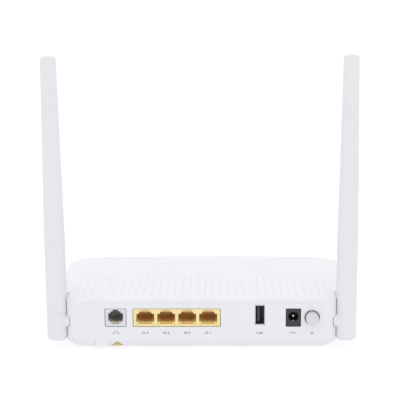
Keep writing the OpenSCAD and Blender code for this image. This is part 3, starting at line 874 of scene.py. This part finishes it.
def jack_body(node, corner=0.5):
    x, y, z = span(node)
    outline = rounded(rectangle(x, (JACK_LOW, z[1])), corner, 3)
    levels = [(y[1], 0), (y[0] + 0.25, 0), (y[0] + 0.07, -0.06), (y[0], -0.22)]
    body = solid(Shape().extruded("y", outline, levels))
    pad = Shape().box((x[0] + 1, x[1] - 1), (4.5, y[1] - 1), (z[0], JACK_LOW + 0.2))
    return combine(body, pad, "UNION")


def make_phone_jack():
    x = middle(span("phone_jack")[0])
    low = span("phone_contacts")[2][0]
    body = jack_body("phone_jack")
    steps = [(3.9, low + 1.25, 19.7), (5, 19.7, 25.1), (3.4, 25.1, 26.4), (1.9, 26.4, 27.5)]
    combine(body, cavity(Shape(), stepped(x, steps), 13))
    combine(body, cavity(Shape(), stepped(x, [(2.9, low - 0.05, low + 1.4)]), 1.5))
    piece(body, "phone_socket", materials["phone"], replaces=["phone_jack"])
    wires = solid(springs(x, 4, 13.1, low))
    piece(wires, "phone_springs", materials["gold"], replaces=["phone_contacts"])


def port_centres():
    x = span("lan_jacks")[0]
    pitch = 13.97
    return [middle(x) + (k - 1.5) * pitch for k in range(4)]


def make_lan_jacks():
    low = span("lan_contacts")[2][0]
    body = jack_body("lan_jacks", 0.4)
    ports = Shape()
    crowns = Shape()
    sills = Shape()
    wires = Shape()
    grooves = Shape()
    for x in port_centres():
        cavity(ports, stepped(x, [(5.95, low + 1.25, 24.6)]), 14)
        crown = [(3.9, 25.7), (3.2, 26.4), (2.5, 27), (1.8, 27.4)]
        cavity(crowns, stepped(x, [(4.3, 24.5, 25.2)], crown), 5)
        cavity(sills, stepped(x, [(4.3, low - 0.05, low + 1.4)]), 1.5)
        strands = springs(x, 8, 14.1, low)
        wires.add(strands.points, strands.faces)
        for sign in (-1, 1):
            at = x + sign * 5.35
            grooves.box((at - 0.3, at + 0.3), (-1, 0.9), (16.5, 18.4))
    for cut in (ports, crowns, sills, grooves):
        combine(body, cut)
    piece(body, "network_sockets", materials["lan"], replaces=["lan_jacks"], sharp=28)
    piece(solid(wires), "network_springs", materials["gold"], replaces=["lan_contacts"])


def make_usb():
    x, y, z = span("usb_shell")
    outer = rounded(rectangle(x, z), 0.8, 4)
    shell = solid(Shape().extruded("y", outer, [(y[1], 0), (y[0] + 0.6, 0), (y[0], 0.18)]))
    inner = grown(outer, -0.35)
    combine(shell, Shape().extruded("y", inner, [(16.6, 0), (y[0] + 0.6, 0), (y[0] - 0.2, 0.25)]))
    slots = Shape()
    for at in (z[0] + 3.4, z[1] - 3.4):
        slots.box((x[0] - 1, x[1] + 1), (2.5, 7.5), (at - 0.9, at - 0.6))
        slots.box((x[0] - 1, x[1] + 1), (2.5, 7.5), (at + 0.6, at + 0.9))
    combine(shell, slots)
    piece(shell, "usb_socket_shell", materials["shell"], replaces=["usb_shell"])
    lips = Shape()
    for level in z:
        outline = rectangle((x[0] + 0.2, x[1] - 0.2), (level - 0.45, level + 0.45))
        levels = [(0.95, -0.1), (0.85, 0), (0.3, 0), (0.15, -0.12)]
        lips.extruded("y", rounded(outline, 0.4, 4), levels)
    piece(solid(lips), "usb_socket_lips", materials["shell"])
    tongue = Shape()
    base = span("usb_tongue")
    block = rectangle((x[0] + 0.4, x[1] - 0.4), (z[0] + 0.4, z[1] - 0.4))
    tongue.extruded("y", rounded(block, 0.5), [(16.5, 0), (12.05, 0)])
    blade = rounded(rectangle((x[0] + 0.9, x[0] + 2.8), (z[0] + 1.2, z[1] - 1.2)), 0.25, 3)
    tongue.extruded("y", blade, [(12.0, 0), (2.2, 0), (base[1][0], -0.35)])
    made = solid(tongue)
    finish = materials["tongue"]
    piece(made, "usb_tongue_block", finish, replaces=["usb_tongue"])
    pads = Shape()
    for at in (-3.5, -1.2, 1.2, 3.5):
        pads.box((x[0] + 2.75, x[0] + 2.95), (3, 11), (middle(z) + at - 0.5, middle(z) + at + 0.5))
    piece(solid(pads), "usb_contacts", materials["gold"], bevel=0.05)


def make_power_jack():
    pin = span("dc_pin")
    centre = (middle(pin[0]), middle(pin[2]))
    body = jack_body("dc_jack", 0.9)
    bore = [(10.5, 3.25), (1.0, 3.25), (0.6, 3.3), (0.28, 3.6), (-1, 4)]
    combine(body, Shape().turned("y", centre, bore, 56))
    slot = (centre[0] - 0.9, centre[0] + 0.9)
    combine(body, Shape().box(slot, (1.5, 10.4), (centre[1] - 3.9, centre[1])))
    piece(body, "power_socket", materials["dc"], replaces=["dc_jack"])
    radius = (pin[0][1] - pin[0][0]) / 2
    profile = [(pin[1][1], radius), (pin[1][0] + radius, radius)]
    profile += [(pin[1][0] + radius - y, r) for r, y in arc((0, 0), radius, 0, 90, 6)][1:]
    made = solid(Shape().turned("y", centre, profile, 32))
    piece(made, "power_pin", materials["nickel"], replaces=["dc_pin"])
    spring = Shape()
    section = rounded(rectangle((-0.7, 0.7), (0, 0.3)), 0.1, 2)
    rings = []
    for y, rise in ((1.6, -0.25), (1.75, 0.3), (2.1, 0.6), (3, 0.75), (6, 0.85), (8, 0.85), (10, 0.75)):
        z = centre[1] - 3.7 + rise
        rings.append([(centre[0] + u, y, z + v) for u, v in section])
    spring.loft(rings)
    piece(solid(spring), "power_spring", materials["nickel"], replaces=["dc_spring"])


# ---- Buttons ----


def make_buttons():
    plunger = span("power_plunger")
    centre = (middle(plunger[0]), middle(plunger[2]))
    front = span("power_button")[1][0]
    radius = 4.25
    profile = [(4, 0), (4, radius - 0.3), (3.55, radius - 0.1), (3.5, 5.9), (2.7, 5.9), (2.65, radius)]
    profile += [(front + 0.6 - y, radius - 0.6 + r) for r, y in arc((0, 0), 0.6, 0, 90, 6)]
    profile += [(front, 2.4), (front + 0.1, 1.2), (front + 0.12, 0)]
    cap = solid(Shape().turned("y", centre, profile, 72))
    across = (centre[0] - 1.5, centre[0] + 1.5)
    combine(cap, Shape().box(across, (0.5, 6), (centre[1] - 1.5, centre[1] + 1.5)))
    piece(cap, "power_cap", materials["cap"], "power_button", ["power_button"])
    for body in ("radio_button", "pairing_button"):
        y, z = [middle(limits) for limits in span(body)[1:]]
        face = rounded(rectangle((y - 3.5, y + 3.5), (z - 2, z + 2)), 0.8, 4)
        outer = span(body)[0][1] - 0.1
        rings = []
        for depth, grow in ((0, -0.45), (0.12, -0.15), (0.4, 0), (4.2, 0)):
            rate = SIDE_RATE if depth < 4 else 0
            outline = grown(face, grow)
            rings.append([(outer - depth - (z + 2 - w) * rate, v, w) for v, w in outline])
        button = Shape().loft(rings)
        button.box((92.4, 93.6), (y - 4.6, y + 4.6), (z - 3, z + 3))
        made = solid(button)
        piece(made, body.replace("button", "cap"), materials["side_cap"], body, [body])


# ---- Antennas ----

ANTENNA_X = 96.9
ANTENNA_TOP = span("antenna_sleeve_right")[2][1]
SPLIT_Z = span("antenna_sleeve_right")[2][0]
BASE_Z = span("antenna_knuckle_right")[2][0]
BASE_W = 13.6
BASE_T = 11
TIP_W = 10.0
TAPER_Z = 76
TIP_R = 2.4


def oval(centre_x, width, thickness, z):
    """Rounded section of an antenna."""
    count = 56
    points = []
    for k in range(count):
        a = 2 * pi * k / count
        u = abs(cos(a)) ** 0.72 * (1 if cos(a) > 0 else -1)
        v = abs(sin(a)) ** 0.72 * (1 if sin(a) > 0 else -1)
        points.append((centre_x + width / 2 * u, PIVOT[0] + thickness / 2 * v, z))
    return points


def sleeve_size(z):
    """Width and thickness of an antenna at a height."""
    t = min(max((z - TAPER_Z) / (ANTENNA_TOP - TAPER_Z), 0), 1)
    return BASE_W + (TIP_W - BASE_W) * t, BASE_T + (TIP_W - 1.3 - BASE_T) * t


def sleeve_ring(x, z, inset):
    width, thickness = sleeve_size(z)
    return oval(x, width - 2 * inset, thickness - 2 * inset, z)


def make_antenna(name, sign):
    x = sign * ANTENNA_X
    wall = 1.6
    rings = [sleeve_ring(x, z, wall) for z in (ANTENNA_TOP - 6, 150, 110, 80, 50, SPLIT_Z + 0.2)]
    for rise, inset in ((0, 1.4), (0, 0.08), (0.02, 0.03), (0.08, 0)):
        rings.append(sleeve_ring(x, SPLIT_Z + rise, inset))
    rings += [sleeve_ring(x, z, 0) for z in (35, 50, 65, TAPER_Z, 95, 115, 135, 155, 175)]
    for r, h in arc((0, 0), TIP_R, 0, 80, 7):
        rings.append(sleeve_ring(x, ANTENNA_TOP - TIP_R + h, TIP_R - r))
    rings.append(sleeve_ring(x, ANTENNA_TOP - 0.01, TIP_R + 0.8))
    body = "antenna_" + name
    finish = materials["antenna"]
    sleeve = solid(Shape().loft(rings))
    stands_for = ["antenna_sleeve_" + name]
    piece(sleeve, "antenna_blade_" + name, finish, body, stands_for)
    rings = [oval(x, BASE_W - 5, BASE_T - 5, BASE_Z)]
    for r, h in arc((0, 0), 2.6, -80, 0, 7):
        rings.append(oval(x, BASE_W - 2 * (2.6 - r), BASE_T - 2 * (2.6 - r), BASE_Z + 2.75 + h))
    top = span("antenna_knuckle_right")[2][1]
    for z, inset in ((12, 0), (18, 0), (top - 0.08, 0), (top - 0.02, 0.03), (top, 0.08)):
        rings.append(oval(x, BASE_W - 2 * inset, BASE_T - 2 * inset, z))
    knuckle = solid(Shape().loft(rings))
    hub_x = abs(span("antenna_knuckle_" + name)[0][0 if sign > 0 else 1])
    profile = [(hub_x, 4.3), (hub_x + 0.1, 4.7), (hub_x + 0.35, 4.95), (hub_x + 0.7, 5), (92, 5), (95, 3.9)]
    combine(knuckle, Shape().turned("x", PIVOT, [(sign * at, r) for at, r in profile], 64), "UNION")
    bore = [(hub_x - 1, 2.8), (93, 2.8), (93, 1.4), (98.4, 1.4)]
    combine(knuckle, Shape().turned("x", PIVOT, [(sign * at, r) for at, r in bore], 32))
    combine(knuckle, Shape().turned("z", (x, PIVOT[0]), [(PIVOT[1], 1.4), (top + 1, 1.4)], 32))
    stands_for = ["antenna_knuckle_" + name]
    piece(knuckle, "antenna_elbow_" + name, finish, body, stands_for)


# ---- Feet, sticker and printed marks ----


def make_feet():
    pads = Shape()
    for place in foot_places():
        profile = [(0, 3.4), (0.08, 3.85), (0.3, 4.27), (0.6, FOOT_R), (1.4, FOOT_R)]
        pads.turned("z", place, profile, 48)
    piece(solid(pads), "foot_pads", materials["foot"], replaces=["rubber_feet"])


def make_label():
    """Blank film on the underside."""
    x, y, z = span("rating_plate")
    outline = rounded(rectangle(x, y), 1.6, 5)
    levels = [(z[0], -0.12), (z[0] + 0.04, 0), (z[1] + 0.05, 0)]
    film = solid(Shape().extruded("z", outline, levels))
    piece(film, "rating_film", materials["plate"], replaces=["rating_plate"])


def make_sticker():
    """Plain triangle on the chamfer of the connector wall."""
    x = span("fibre_sticker")[0]
    fall = (5.7 - FLOOR) / hypot(5.7 - FLOOR, HEEL)
    run = HEEL / hypot(5.7 - FLOOR, HEEL)
    corners = [(x[0], -5.6), (x[1], -5.6), (middle(x), -0.35)]
    for part, inset, near, far in (("rim", 0, 0.02, 0.1), ("face", 0.4, 0.1, 0.16)):
        outline = grown(rounded(corners, 0.5, 3), -inset)
        rings = []
        for lift in (near, far):
            rings.append([(u, -v * run - lift * fall, 5.6 + v * fall - lift * run) for u, v in outline])
        made = solid(Shape().loft(rings))
        finish = materials["sticker_rim" if part == "rim" else "sticker"]
        stands_for = ["fibre_sticker"] if part == "rim" else ()
        piece(made, "sticker_" + part, finish, replaces=stands_for)


def strokes(shape, lines, origin, scale, width, place):
    """Printed lines: flat ribbons a little proud of a face; place gives a point on it."""
    for line in lines:
        for a, b in zip(line, line[1:]):
            a = Vector(a) * scale + Vector(origin)
            b = Vector(b) * scale + Vector(origin)
            along = (b - a).normalized() * width / 2
            across = Vector((-along.y, along.x))
            outline = [a - along + across, a - along - across, b + along - across, b + along + across]
            shape.loft([[place(p.x, p.y, lift) for p in outline] for lift in (0, 0.05)])


def ring_line(u, v, radius, start=0, end=360, count=12):
    return arc((u, v), radius, start, end, count)


DIGITS = {
    "1": [[(0.2, 0.75), (0.5, 1), (0.5, 0)]],
    "2": [ring_line(0.35, 0.7, 0.3, 170, -30, 6) + [(0.05, 0), (0.7, 0)]],
    "3": [ring_line(0.32, 0.74, 0.26, 150, -90, 6) + ring_line(0.32, 0.25, 0.27, 90, -150, 6)],
    "4": [[(0.55, 0), (0.55, 1), (0, 0.3), (0.75, 0.3)]],
}
PORT_OUTLINE = [(-1.9, 0.05), (-0.6, 0.05), (-0.6, 0.7), (-0.95, 0.7), (-0.95, 1)]
PORT_OUTLINE += [(-1.55, 1), (-1.55, 0.7), (-1.9, 0.7), (-1.9, 0.05)]
PORT_MARK = [PORT_OUTLINE]
HANDSET_MARK = [
    ring_line(0, -0.1, 1.25, 35, 145, 8),
    [(-1.4, 0.55), (-0.8, 0.2)],
    [(1.4, 0.55), (0.8, 0.2)],
    [(-1.6, 0.3), (-0.95, 0.0)],
    [(1.6, 0.3), (0.95, 0.0)],
]
PLUG_MARK = [
    [(-1.6, 0.1), (0.3, 0.1), (0.3, 0.9), (-1.6, 0.9), (-1.6, 0.1)],
    [(0.3, 0.25), (1.3, 0.25), (1.3, 0.75), (0.3, 0.75)],
    [(0.75, 0.4), (0.95, 0.4)],
    [(0.75, 0.6), (0.95, 0.6)],
]
SUPPLY_MARK = [
    [(-1.5, 0.75), (1.5, 0.75)],
    [(-1.5, 0.3), (-0.8, 0.3)],
    [(-0.35, 0.3), (0.35, 0.3)],
    [(0.8, 0.3), (1.5, 0.3)],
]
SWITCH_MARK = [ring_line(0, 0.45, 0.55, 125, 415, 14), [(0, 0.45), (0, 1.1)]]


def make_marks():
    """Plain pictograms and port numbers under the connectors."""
    marks = Shape()
    base = span("wall_marks")[2][0]

    def on_wall(x, z, lift):
        return (x, -lift, z)

    def mark(lines, x):
        strokes(marks, lines, (x, base), 1.35, 0.26, on_wall)

    for x, digit in zip(port_centres(), "4321"):
        mark(PORT_MARK, x + 0.6)
        mark(DIGITS[digit], x + 0.9)
    mark(HANDSET_MARK, middle(span("phone_jack")[0]))
    mark(PLUG_MARK, middle(span("usb_shell")[0]))
    mark(SUPPLY_MARK, middle(span("dc_jack")[0]))
    mark(SWITCH_MARK, middle(span("power_plunger")[0]))
    piece(solid(marks), "connector_marks", materials["print"], replaces=["wall_marks"])


make_phone_jack()
make_lan_jacks()
make_usb()
make_power_jack()
make_buttons()
for name, sign in SIDES:
    make_antenna(name, sign)
make_feet()
make_label()
make_sticker()
make_marks()

# ---- CAD parts that keep their shape ----

DRESS = {
    "screw": ["case_screws"],
    "dc": ["power_plunger"],
    "chip": [
        "push_switches",
        "power_switch",
        "processor",
        "memory_chips",
        "radio_chip",
        "line_chip",
        "lan_transformers",
    ],
    "board": ["main_board"],
    "pad": ["thermal_pad"],
    "sink": ["heat_sink"],
    "tin": ["radio_shield", "crystals", "optical_module"],
    "can": ["capacitors"],
    "ferrite": ["inductors"],
    "green": ["fibre_adapter"],
    "ceramic": ["fibre_ferrule"],
    "led": ["indicator_leds"],
    "guide": ["light_guide"],
    "gold": ["lead_plugs"],
    "lead": ["antenna_lead_left", "antenna_lead_right"],
    "nickel": ["hinge_barrel_left", "hinge_barrel_right", "hinge_washer_left", "hinge_washer_right"],
    "shell": ["hinge_clip_left", "hinge_clip_right"],
    "strip": ["radiator_left", "radiator_right"],
}
for finish, names in DRESS.items():
    for name in names:
        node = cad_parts[name]
        for holder in node.material_slots:
            holder.link = "OBJECT"
            holder.material = materials[finish]

# ---- Camera, light and floor ----


def make_camera():
    """Camera where the connectors are seen from, slightly above them."""
    turn, tilt, roll = radians(1.23), radians(11.44), radians(0.43)
    forward = Vector((-sin(turn) * cos(tilt), cos(turn) * cos(tilt), -sin(tilt)))
    right = Vector((cos(turn), sin(turn), 0))
    up = right.cross(forward)
    axes = Matrix((right * cos(roll) - up * sin(roll), up * cos(roll) + right * sin(roll), -forward))
    lens = bpy.data.cameras.new("camera")
    lens.lens = 90.85
    lens.sensor_width = 36
    camera = bpy.data.objects.new("camera", lens)
    camera.matrix_world = Matrix.Translation((0.0137, -0.7092, 0.2317)) @ axes.transposed().to_4x4()
    bpy.context.scene.collection.objects.link(camera)
    bpy.context.scene.camera = camera


def make_world():
    """Even studio light, a little darker from both sides."""
    world = bpy.data.worlds.new("studio")
    world.use_nodes = True
    bpy.context.scene.world = world
    nodes, links = world.node_tree.nodes, world.node_tree.links
    direction = nodes.new("ShaderNodeTexCoord").outputs["Generated"]
    split = nodes.new("ShaderNodeSeparateXYZ")
    links.new(direction, split.inputs[0])
    square = nodes.new("ShaderNodeMath")
    square.operation = "MULTIPLY"
    links.new(split.outputs["X"], square.inputs[0])
    links.new(split.outputs["X"], square.inputs[1])
    level = nodes.new("ShaderNodeMapRange")
    links.new(square.outputs[0], level.inputs["Value"])
    level.inputs["To Min"].default_value = 1.18
    level.inputs["To Max"].default_value = 1.0
    sky = nodes["Background"]
    sky.inputs["Color"].default_value = (0.99, 0.995, 1, 1)
    links.new(level.outputs[0], sky.inputs["Strength"])


def make_floor():
    size = 6
    mesh = bpy.data.meshes.new("floor")
    corners = [(-size, -size, 0), (size, -size, 0), (size, size, 0), (-size, size, 0)]
    mesh.from_pydata(corners, [], [(0, 1, 2, 3)])
    floor = bpy.data.objects.new("floor", mesh)
    bpy.context.scene.collection.objects.link(floor)
    finish = Finish("pale_floor", Roughness=0.9)
    finish.mottled(srgb(150, 150, 151), 60, 0.01)
    finish.shader.inputs["Emission Color"].default_value = (1, 1, 1, 1)
    finish.shader.inputs["Emission Strength"].default_value = 0.7
    mesh.materials.append(finish.material)


make_camera()
make_world()
make_floor()
bpy.context.scene.view_settings.view_transform = "Standard"
